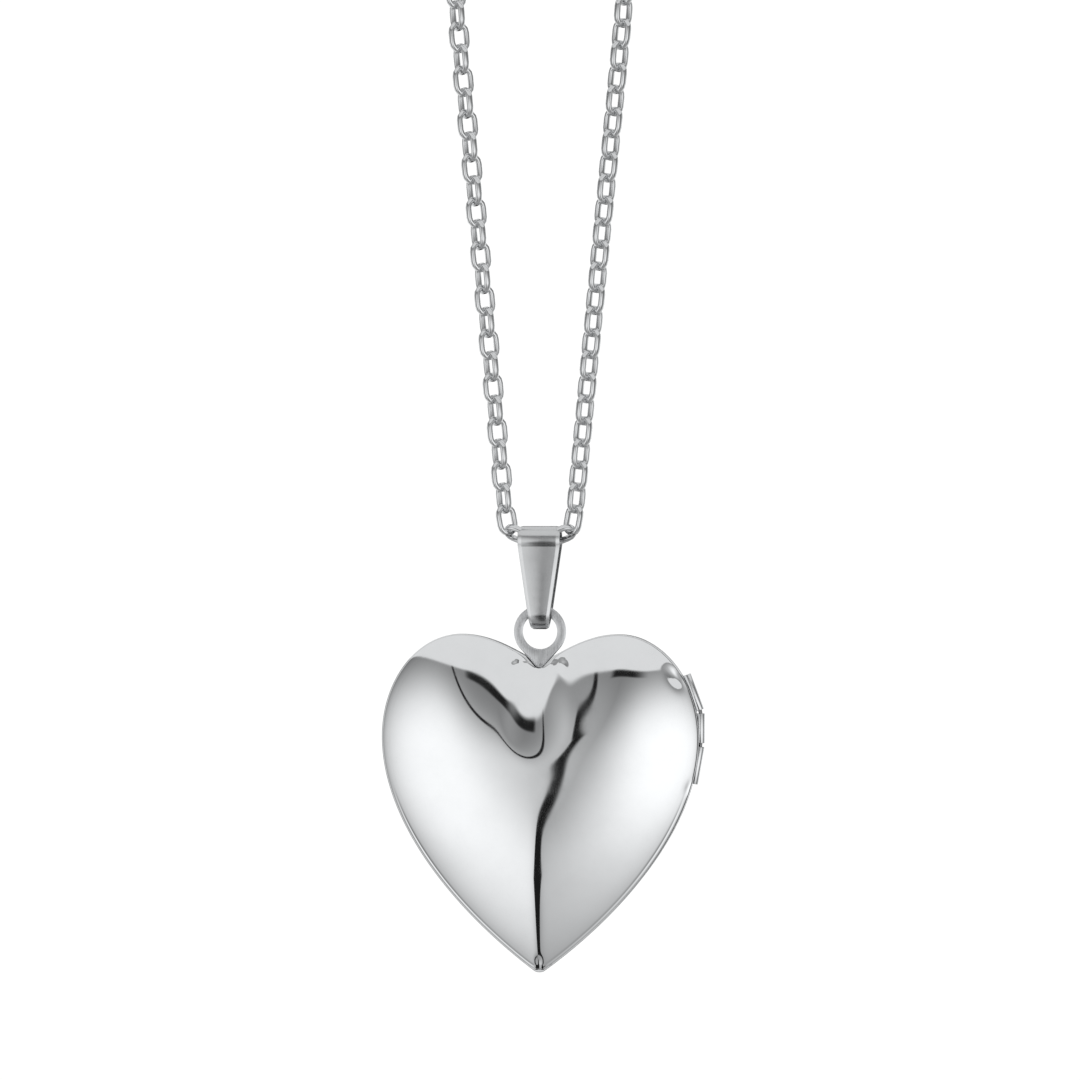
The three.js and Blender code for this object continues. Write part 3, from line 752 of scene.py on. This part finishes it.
class World:
    """Builds the studio's light as a function of direction, in degrees."""

    def __init__(self):
        world = bpy.data.worlds.new("studio")
        bpy.context.scene.world = world
        world.use_nodes = True
        self.tree = world.node_tree
        self.tree.nodes.clear()
        coords = self.tree.nodes.new("ShaderNodeTexCoord").outputs["Generated"]
        x, y, z = add_node(self.tree, "ShaderNodeSeparateXYZ", {0: coords}).outputs
        self.turn = self.times(self.op("ARCTAN2", x, self.op("ABSOLUTE", y)), 180 / math.pi)
        self.rise = self.times(self.op("ARCSINE", z), 180 / math.pi)

    def op(self, operation, a, b=None):
        return math_node(self.tree, operation, a, b)

    def plus(self, a, b):
        return self.op("ADD", a, b)

    def minus(self, a, b):
        return self.op("SUBTRACT", a, b)

    def times(self, a, b):
        return self.op("MULTIPLY", a, b)

    def step(self, value, low, high):
        return ramp_between(self.tree, value, low, high, curve="SMOOTHSTEP")

    def blob(self, turn, rise, wide, high):
        a = self.op("DIVIDE", self.minus(self.turn, turn), wide)
        b = self.op("DIVIDE", self.minus(self.rise, rise), high)
        far = self.plus(self.times(a, a), self.times(b, b))
        return self.op("EXPONENT", self.times(self.op("POWER", far, 1.5), -1.0))

    def mix(self, share, first, second):
        inputs = {"Factor": share, "A": first, "B": second}
        return add_node(self.tree, "ShaderNodeMix", inputs).outputs["Result"]

    def close(self, level):
        """Mirrors see the studio, the camera sees plain white."""
        shades = {i: self.times(level, gain) for i, gain in enumerate((0.985, 0.995, 1.0))}
        shade = add_node(self.tree, "ShaderNodeCombineColor", shades).outputs[0]
        studio = add_node(self.tree, "ShaderNodeBackground", {"Color": shade})
        white = {"Color": (1.0, 1.0, 1.0, 1.0), "Strength": 1.05}
        plain = add_node(self.tree, "ShaderNodeBackground", white)
        seen = self.tree.nodes.new("ShaderNodeLightPath").outputs["Is Camera Ray"]
        inputs = {0: seen, 1: studio.outputs[0], 2: plain.outputs[0]}
        pick = add_node(self.tree, "ShaderNodeMixShader", inputs)
        add_node(self.tree, "ShaderNodeOutputWorld", {"Surface": pick.outputs[0]})


WALLS, FAR_WALLS, GROUND, GAP_LINE, STRIP = 0.455, 0.4, 0.58, 0.14, 0.125
CEILING_EDGE = 34.0
CEILING_DROP = 4.5  # how much lower its edge is to the right


def studio_world():
    """Two side softboxes, a pale ceiling and the dark gap between them, in display brightness."""
    world = World()
    turn, rise = world.turn, world.rise
    level = world.mix(world.step(world.op("ABSOLUTE", turn), 30, 95), WALLS, FAR_WALLS)
    level = world.mix(world.step(rise, -27, -51), level, GROUND)
    left = world.times(world.blob(-39, -10, 40, 36), finish().softbox)
    right = world.times(world.blob(39, -9, 38, 32), finish().softbox * 1.06)
    level = world.op("MINIMUM", world.plus(level, world.op("MAXIMUM", left, right)), 1.0)
    edge = world.minus(CEILING_EDGE, world.times(world.step(turn, -5, 30), CEILING_DROP))
    above = world.minus(rise, edge)
    # the black line just under the ceiling, on one side only
    gap = world.times(world.step(turn, -9, -3), world.step(turn, 28, 12))
    gap = world.times(gap, world.step(above, -4.6, -3.2))
    level = world.mix(gap, level, GAP_LINE)
    # the dark gap between the softboxes, wider low down and leaning over high up
    raised = world.plus(rise, 4)
    over = world.op("MAXIMUM", raised, 0)
    under = world.op("MAXIMUM", world.op("MINIMUM", raised, 0), -18)
    high = world.op("MAXIMUM", world.minus(rise, 8.5), 0)
    middle = -3.3
    for part, slope in ((over, -0.1), (high, -0.5), (under, 0.05)):
        middle = world.plus(world.times(part, slope), middle)
    half = world.plus(world.times(under, world.minus(world.times(under, 0.022), 0.14)), 1.0)
    beside = world.op("ABSOLUTE", world.minus(turn, middle))
    strip = world.step(world.minus(half, beside), -0.5, 0.5)
    strip = world.times(strip, world.step(rise, -75, -55))
    level = world.mix(strip, level, STRIP)
    level = world.mix(world.step(above, -0.9, 0.9), level, finish().ceiling)
    world.close(world.times(world.op("POWER", level, 2.2), finish().gain))


class LOCKET_OT_stage(bpy.types.Operator):
    """Places the camera, the pale floor and the studio light"""

    bl_idname = "locket.stage"
    bl_label = "Stage"

    def execute(self, context):
        scene = context.scene
        camera = bpy.data.objects.new("camera", bpy.data.cameras.new("camera"))
        scene.collection.objects.link(camera)
        camera.data.lens = LENS
        camera.data.sensor_width = SENSOR
        reach = VIEW_WIDTH * LENS / SENSOR
        away = Vector((math.sin(CAMERA_TURN), -math.cos(CAMERA_TURN), 0))
        camera.location = AIM + away * reach
        camera.rotation_euler = (math.radians(90), 0, CAMERA_TURN)
        camera.data.clip_start = 0.01
        scene.camera = camera
        scene.view_settings.view_transform = "Standard"
        studio_world()
        count = 96
        rings = [[(r * c, r * s, FLOOR_Z) for c, s in circle(count)] for r in FLOOR_RINGS]
        verts, faces = skin_loops(rings)
        faces = [tuple(reversed(face)) for face in faces] + [tuple(range(count))]
        floor = mesh_piece("floor", verts, faces, MATERIALS["pale_floor"])
        floor.visible_glossy = False
        for name, place, size, power in (
            ("overhead_light", (0.0, -0.05, 0.55), 0.7, 2.2),
            ("back_light", (0.1, 0.6, 0.25), 0.5, 1.2),
        ):
            light = bpy.data.lights.new(name, "AREA")
            light.shape = "DISK"
            light.size = size
            light.energy = power
            lamp = bpy.data.objects.new(name, light)
            scene.collection.objects.link(lamp)
            lamp.location = place
            lamp.rotation_euler = (Vector(place) - AIM).to_track_quat("Z", "Y").to_euler()
            lamp.visible_glossy = False
            lamp.visible_camera = False
        return {"FINISHED"}


# ---- chain
CHAIN_DIAMETER = 1.45 * MM
ARCH_RADIUS = 7.55  # millimetres
ARCH_DEGREES = (8, 20, 31, 42)
ARCH_END = math.radians(ARCH_DEGREES[-1])
RING_WIRE = 0.25 * MM
RING_INSIDE = 0.6 * MM  # from the end of the route to the near inside of an end ring
RIVET_STEPS = ((0.0001, 0.0), (0.16, 0.0), (0.24, 0.05), (0.27, 0.12))


def chain_height():
    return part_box("bail")[1][2] - BAIL_STRAP - CHAIN_DIAMETER / 2 - 0.05 * MM


def chain_route():
    """The chain's centre line from the left end of the arch down, through the bail and up."""
    level = chain_height() / MM
    half = [(0, level), (0.9, level), (1.75, level + 0.01), (2.35, level + 0.2)]
    half += [(2.75, level + 0.8), (2.95, level + 1.8), (3.27, -46), (3.85, -40), (4.62, -32)]
    half += [(5.4, -24), (6.2, -16), (6.98, -8), (7.3, -4), (7.51, -0.74)]
    for angle in map(math.radians, ARCH_DEGREES):
        half.append((ARCH_RADIUS * math.cos(angle), ARCH_RADIUS * math.sin(angle)))
    right = [Vector((x, 0, z)) * MM for x, z in half]
    left = [Vector((-p.x, 0, p.z)) for p in right[:0:-1]]
    return left + right


def smooth_route(points, steps=12):
    """The same line through the same points, drawn finely."""
    fine = []
    for i in range(len(points) - 1):
        a = points[max(0, i - 1)]
        b, c = points[i], points[i + 1]
        d = points[min(len(points) - 1, i + 2)]
        for t in (k / steps for k in range(steps)):
            bend = (2 * a - 5 * b + 4 * c - d) * t * t + (3 * b - a - 3 * c + d) * t**3
            fine.append(0.5 * (2 * b + (c - a) * t + bend))
    fine.append(points[-1])
    return fine


def link_joints(route, pitch):
    """Points one pitch apart, outwards from a link lying in the bail to the two end rings."""
    middle = len(route) // 2
    outward = Vector((-math.sin(ARCH_END), 0, math.cos(ARCH_END)))
    target = route[-1] + outward * RING_INSIDE
    spare = 1.5 * MM
    outer = route[middle:] + [target + outward * spare]

    def walk(points, first):
        found = [first]
        index = 0
        while True:
            while index < len(points) and (points[index] - found[-1]).length < pitch:
                index += 1
            if index >= len(points):
                return found
            a, b = points[index - 1], points[index]
            low, high = 0.0, 1.0
            for _ in range(24):
                t = (low + high) / 2
                if (a.lerp(b, t) - found[-1]).length < pitch:
                    low = t
                else:
                    high = t
            found.append(a.lerp(b, high))

    run = sum((b - a).length for a, b in zip(outer, outer[1:])) - spare
    count = round(run / pitch - 0.5)
    for _ in range(5):
        first = Vector((pitch / 2, 0, route[middle].z))
        right = walk([p for p in outer if p.x > pitch / 2], first)[: count + 1]
        pitch += (target - right[-1]).dot(outward) / (count + 0.5)
    left = [Vector((-p.x, 0, p.z)) for p in right]
    return left[::-1] + right


def link_mesh():
    """One oval link along X, flat in XY."""
    wire = sizes().wire
    length = sizes().pitch + 2 * wire
    bend = (sizes().link_width - wire) / 2
    run = (length - wire) / 2 - bend
    path = []
    for turn, x in ((-90, run), (90, -run)):
        for k in range(8):
            angle = math.radians(turn + 180 * k / 7)
            path.append((x + bend * math.cos(angle), bend * math.sin(angle), 0))
    thick = sizes().link_thick / 2
    return swept_wire(path, wire / 2, 12, True, thick=thick, first_normal=(0, 0, 1), square=0.7)


def chain_tree():
    """Sets a link on each edge of a line, every second one turned a quarter further."""
    tree = bpy.data.node_groups.new("chain_links", "GeometryNodeTree")
    add_socket(tree, "Geometry", "NodeSocketGeometry")
    add_socket(tree, "Link", "NodeSocketObject")
    add_socket(tree, "Turn", "NodeSocketFloat", math.radians(45))
    add_socket(tree, "Steel", "NodeSocketMaterial")
    add_socket(tree, "Geometry", "NodeSocketGeometry", output=True)
    start = tree.nodes.new("NodeGroupInput").outputs
    ends = tree.nodes.new("GeometryNodeInputMeshEdgeVertices").outputs
    inputs = {0: ends["Position 2"], 1: ends["Position 1"]}
    along = add_node(tree, "ShaderNodeVectorMath", inputs, operation="SUBTRACT").outputs[0]
    keep = add_node(tree, "GeometryNodeCaptureAttribute", domain="EDGE")
    keep.capture_items.new("VECTOR", "Along")
    tree.links.new(start["Geometry"], keep.inputs["Geometry"])
    tree.links.new(along, keep.inputs["Along"])
    points = add_node(tree, "GeometryNodeMeshToPoints", {"Mesh": keep.outputs["Geometry"]}, mode="EDGES")
    inputs = {"Vector": keep.outputs["Along"]}
    align = add_node(tree, "FunctionNodeAlignRotationToVector", inputs, axis="X")
    odd = math_node(tree, "MODULO", tree.nodes.new("GeometryNodeInputIndex").outputs[0], 2.0)
    turn = math_node(tree, "ADD", start["Turn"], math_node(tree, "MULTIPLY", odd, math.pi / 2))
    spin = add_node(tree, "FunctionNodeAxisAngleToRotation", {"Axis": (1, 0, 0), "Angle": turn})
    inputs = {"Rotation": align.outputs["Rotation"], "Rotate By": spin.outputs["Rotation"]}
    rotate = add_node(tree, "FunctionNodeRotateRotation", inputs, rotation_space="LOCAL")
    shape = add_node(tree, "GeometryNodeObjectInfo", {"Object": start["Link"]})
    inputs = {"Points": points.outputs[0], "Instance": shape.outputs["Geometry"]}
    inputs["Rotation"] = rotate.outputs["Rotation"]
    place = add_node(tree, "GeometryNodeInstanceOnPoints", inputs)
    real = add_node(tree, "GeometryNodeRealizeInstances", {0: place.outputs[0]})
    inputs = {"Geometry": real.outputs[0], "Material": start["Steel"]}
    coat = add_node(tree, "GeometryNodeSetMaterial", inputs)
    add_node(tree, "NodeGroupOutput", {0: coat.outputs[0]})
    return tree


class LOCKET_OT_chain(bpy.types.Operator):
    """Links the chain along its route"""

    bl_idname = "locket.chain"
    bl_label = "Chain"

    def execute(self, context):
        verts, faces = link_mesh()
        link = mesh_piece("one_link", verts, faces, MATERIALS["chain_steel"], sharp=80, recalc=True)
        route = smooth_route(chain_route())
        joints = link_joints(route, sizes().pitch)
        mesh = bpy.data.meshes.new("chain_line")
        mesh.from_pydata([tuple(p) for p in joints], [(i, i + 1) for i in range(len(joints) - 1)], [])
        chain = bpy.data.objects.new("chain_links", mesh)
        context.scene.collection.objects.link(chain)
        tree = chain_tree()
        modifier = chain.modifiers.new("links", "NODES")
        modifier.node_group = tree
        values = {"Link": link, "Turn": sizes().link_turn, "Steel": MATERIALS["chain_steel"]}
        for item in tree.interface.items_tree:
            if item.in_out == "INPUT" and item.name in values:
                modifier[item.identifier] = values[item.name]
        evaluated_mesh(chain).shade_smooth()
        bpy.data.objects.remove(link)
        settle(chain, "chain_and_clasp", "polished_steel", "chain")
        rings = [
            make_ring("jump_ring", "ring_of_the_clasp", 1, 1.05 * MM),
            make_ring("end_ring", "ring_of_the_chain", -1, 1.3 * MM),
        ]
        path = [tuple(p) for p in chain_route()[::-1]]
        length = sum((b - a).length for a, b in zip(route, route[1:]))
        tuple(path[0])
        rings + make_clasp()
        return {"FINISHED"}


def make_ring(node, name, side, radius):
    """An end ring across the end of the chain, side is 1 on the right and -1 on the left."""
    low, high = (Vector(p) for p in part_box(node))
    centre = (low + high) / 2
    along = Vector((-math.sin(ARCH_END) * side, 0, math.cos(ARCH_END)))
    across = Vector((0, 1, 0))
    path = [centre + radius * (c * along + s * across) for c, s in circle(56, 0.5)]
    wire = swept_wire(path, RING_WIRE, 16, closed=True)
    return add_solid(name, wire, "clasp_steel", "chain_and_clasp", "polished_steel", node, 80)


def softened_copy(node, name, material, bevel, segments=3):
    """A copy of a CAD solid with its doubles merged and its edges rounded."""
    source = frame["nodes"][node]
    mesh = source.data.copy()
    mesh.name = name
    shape = bmesh.new()
    shape.from_mesh(mesh)
    bmesh.ops.remove_doubles(shape, verts=shape.verts, dist=0.002 * MM)
    bmesh.ops.dissolve_limit(shape, angle_limit=math.radians(1.5), verts=shape.verts, edges=shape.edges)
    shape.to_mesh(mesh)
    shape.free()
    piece = bpy.data.objects.new(name, mesh)
    bpy.context.scene.collection.objects.link(piece)
    round_off = piece.modifiers.new("round_off", "BEVEL")
    round_off.width = bevel
    round_off.segments = segments
    round_off.limit_method = "ANGLE"
    round_off.angle_limit = math.radians(32)
    finish_mesh(evaluated_mesh(piece), material, 30.0)
    return piece


def make_clasp():
    steel = MATERIALS["clasp_steel"]
    body = softened_copy("clasp_body", "clasp_shell", steel, 0.16 * MM)
    settle(body, "chain_and_clasp", "polished_steel", "clasp_body")
    lever = softened_copy("clasp_lever", "clasp_thumb_lever", steel, 0.08 * MM)
    settle(lever, "clasp_lever", "polished_steel", "clasp_lever")
    spring = softened_copy("clasp_spring", "clasp_leaf_spring", MATERIALS["pin_steel"], 0.02 * MM, 2)
    settle(spring, "chain_and_clasp", "satin_steel", "clasp_spring")
    low, high = (Vector(p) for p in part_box("clasp_rivet"))
    centre = (low + high) / 2
    half = (high.y - low.y) / 2
    profile = [(r * MM, -half + h * MM) for r, h in RIVET_STEPS]
    profile += [(r, -h) for r, h in profile[::-1]]
    place = Matrix.Translation(centre) @ Matrix.Rotation(math.radians(90), 4, "X")
    looks = ("clasp_steel", "chain_and_clasp", "polished_steel")
    rivet = add_solid("clasp_peened_rivet", lathe(profile, 32, place), *looks, "clasp_rivet")
    return [body, lever, spring, rivet]


# ---- covers and fittings
class LOCKET_OT_covers(bpy.types.Operator):
    """Shapes the front and back covers"""

    bl_idname = "locket.covers"
    bl_label = "Covers"

    def execute(self, context):
        rows = cover_rows(Heart())
        shell = MATERIALS["polished_shell"]
        for node, side, body in (("front_cover", -1, "front_half"), ("back_cover", 1, "back_half")):
            verts, faces = cover_mesh(rows, side)
            cover = mesh_piece(node + "_shell", verts, faces, shell)
            cutters = knuckle_cutters()
            low = -sizes().cover_depth - 1 * MM
            cutters.append(tail_cutter(low, LOOP_HALF + 0.05 * MM))
            boolean(cover, cutters)
            finish_mesh(cover.data, shell, 32.0)
            settle(cover, body, "polished_shell", node)
        return {"FINISHED"}


class LOCKET_OT_fittings(bpy.types.Operator):
    """Finishes the closing rim, the photo frames and the photo seats inside"""

    bl_idname = "locket.fittings"
    bl_label = "Inner fittings"

    def execute(self, context):
        finishes = {"closing_rim": "satin_steel"}
        for side in ("back", "front"):
            finishes["photo_frame_" + side] = "frame_satin"
            finishes["photo_seat_" + side] = "seat_satin"
        for node, name in finishes.items():
            piece = frame["nodes"][node]
            piece.data.materials.clear()
            piece.data.materials.append(MATERIALS[name])
        return {"FINISHED"}


class LOCKET_OT_hinge(bpy.types.Operator):
    """Turns the three knuckles and their pin"""

    bl_idname = "locket.hinge"
    bl_label = "Hinge"

    def execute(self, context):
        places = knuckle_places()
        for name, (place, low, high) in places.items():
            profile = tube_profile(PIN + 0.04 * MM, KNUCKLE, low, high, 0.05 * MM)
            looks = ("knuckle_steel", "front_half" if name == "middle" else "back_half", "polished_steel")
            add_solid("knuckle_" + name, lathe(profile, 40, place), *looks, "hinge_knuckle_" + name)
        ends = (END_TO / MM - 0.05, 2, 1, 0.45, 0.12)
        bends = (BEND / MM - 0.12, BEND / MM - 0.45, BEND / MM - 0.9)
        steps = [("upper", s) for s in ends] + [("middle", s) for s in bends]
        steps += [("middle", -s) for s in bends[::-1]] + [("lower", -s) for s in ends[::-1]]
        points = [places[name][0] @ Vector((0, 0, s * MM)) for name, s in steps]
        wire = swept_wire(smooth_route(points, 6), PIN, 16, closed=False)
        add_solid("hinge_wire_pin", wire, "pin_steel", "back_half", "satin_steel", "hinge_pin")
        return {"FINISHED"}


def suspension_loop():
    """A flat ring with a pointed tail, its edges broken all round."""
    corner = ((0, LOOP_BEVEL), (0.3 * LOOP_BEVEL, 0.3 * LOOP_BEVEL), (LOOP_BEVEL, 0))
    loops = []
    for c, s in circle(160, 0.5):
        outer = loop_reach(math.atan2(s, c))
        front = [(LOOP_HOLE + i, -LOOP_HALF + j) for i, j in corner]
        front += [(outer - i, -LOOP_HALF + j) for i, j in corner[::-1]]
        section = front + [(r, -y) for r, y in front[::-1]]
        loops.append([(r * c, y, loop_centre() + r * s) for r, y in section])
    return skin_loops(loops, closed_rows=True)


def bail_side(grow, steps=14):
    """The bail's side outline from the front foot over the roll to the back foot, as (y, z)."""
    strap = BAIL_STRAP / MM
    roll = BAIL_ROLL + grow
    roll_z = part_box("bail")[1][2] / MM - strap - BAIL_ROLL
    band = LOOP_HALF / MM + SWING_ROOM + grow
    band_z = (loop_centre() + (LOOP_RADIUS + LOOP_HOLE) / 2) / MM
    foot = loop_centre() / MM + 0.2 + strap - grow
    leg = bezier([(0, foot), (-0.12 - grow, foot), (-band, band_z - 0.9), (-band, band_z - 0.35)], steps)
    crease = (-roll * math.cos(ROLL_WRAP), roll_z - roll * math.sin(ROLL_WRAP))
    rise = np.linspace(leg[-1], crease, 8)[1:-1]
    turn = np.linspace(-ROLL_WRAP, math.pi + ROLL_WRAP, 2 * steps)
    arc = np.stack([-roll * np.cos(turn), roll_z + roll * np.sin(turn)], 1)
    front = np.vstack([leg, rise, arc[:steps]])
    return np.vstack([front, (front * [-1, 1])[::-1]]) * MM


def bail_strap():
    """A tapered strap folded over the chain, with a broad bevel on its outer face."""
    inner, outer = bail_side(0.0), bail_side(BAIL_STRAP / MM)
    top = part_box("bail")[1][2] - 1.7 * MM
    foot = loop_centre() + 0.1 * MM
    gap = 0.05 * MM
    loops = []
    for i, (a, b) in enumerate(zip(inner, outer)):
        share = min(1.0, max(0.0, (top - (a[1] + b[1]) / 2) / (top - foot)))
        half = (BAIL_WIDTHS[0] * (1 - share) + BAIL_WIDTHS[1] * share) / 2
        broad = BAIL_BEVELS[0] * (1 - share) + BAIL_BEVELS[1] * share
        thick = float(np.hypot(*(b - a)))
        outward = (b - a) / thick
        side = -1 if i < len(inner) / 2 else 1
        right = [(half - 0.03 * MM, 0.0), (half, 0.04 * MM), (half, thick - 0.15 * MM)]
        right += [(half - 0.03 * MM, thick - 0.11 * MM), (half - broad, thick - 0.012 * MM)]
        right.append((half - broad - 0.06 * MM, thick))
        loop = []
        for x, depth in right + [(-x, depth) for x, depth in right[::-1]]:
            y, z = a + outward * depth
            loop.append((x, side * max(gap, y * side), z))
        loops.append(loop)
    return capped(loops)


class LOCKET_OT_bail(bpy.types.Operator):
    """Folds the bail and cuts the suspension loop"""

    bl_idname = "locket.bail"
    bl_label = "Bail and loop"

    def execute(self, context):
        add_solid("folded_bail", bail_strap(), "bail_steel", "bail", "polished_steel", "bail", 22)
        loop = suspension_loop()
        add_solid("flat_suspension_loop", loop, "satin_steel", "back_half", "satin_steel", "suspension_loop")
        return {"FINISHED"}


class LOCKET_PT_panel(bpy.types.Panel):
    """Lists the locket's steps"""

    bl_idname = "LOCKET_PT_panel"
    bl_label = "Heart locket"
    bl_space_type = "VIEW_3D"
    bl_region_type = "UI"
    bl_category = "Locket"

    def draw(self, context):
        for step in STEPS:
            self.layout.operator(step.bl_idname)
        for group in (context.scene.locket_sizes, context.scene.locket_finish):
            box = self.layout.box()
            for name in group.bl_rna.properties.keys():
                if name not in ("rna_type", "name"):
                    box.prop(group, name)


STEPS = (
    LOCKET_OT_stage,
    LOCKET_OT_chain,
    LOCKET_OT_covers,
    LOCKET_OT_fittings,
    LOCKET_OT_hinge,
    LOCKET_OT_bail,
)
CLASSES = (LocketSizes, LocketFinish) + STEPS + (LOCKET_PT_panel,)


def register():
    for item in CLASSES:
        bpy.utils.register_class(item)
    bpy.types.Scene.locket_sizes = PointerProperty(type=LocketSizes)
    bpy.types.Scene.locket_finish = PointerProperty(type=LocketFinish)


def unregister():
    del bpy.types.Scene.locket_finish
    del bpy.types.Scene.locket_sizes
    for item in reversed(CLASSES):
        bpy.utils.unregister_class(item)


def main():
    register()
    make_materials()
    bpy.ops.locket.stage()
    bpy.ops.locket.chain()
    bpy.ops.locket.covers()
    bpy.ops.locket.fittings()
    bpy.ops.locket.hinge()
    bpy.ops.locket.bail()


if __name__ == "__main__":
    main()
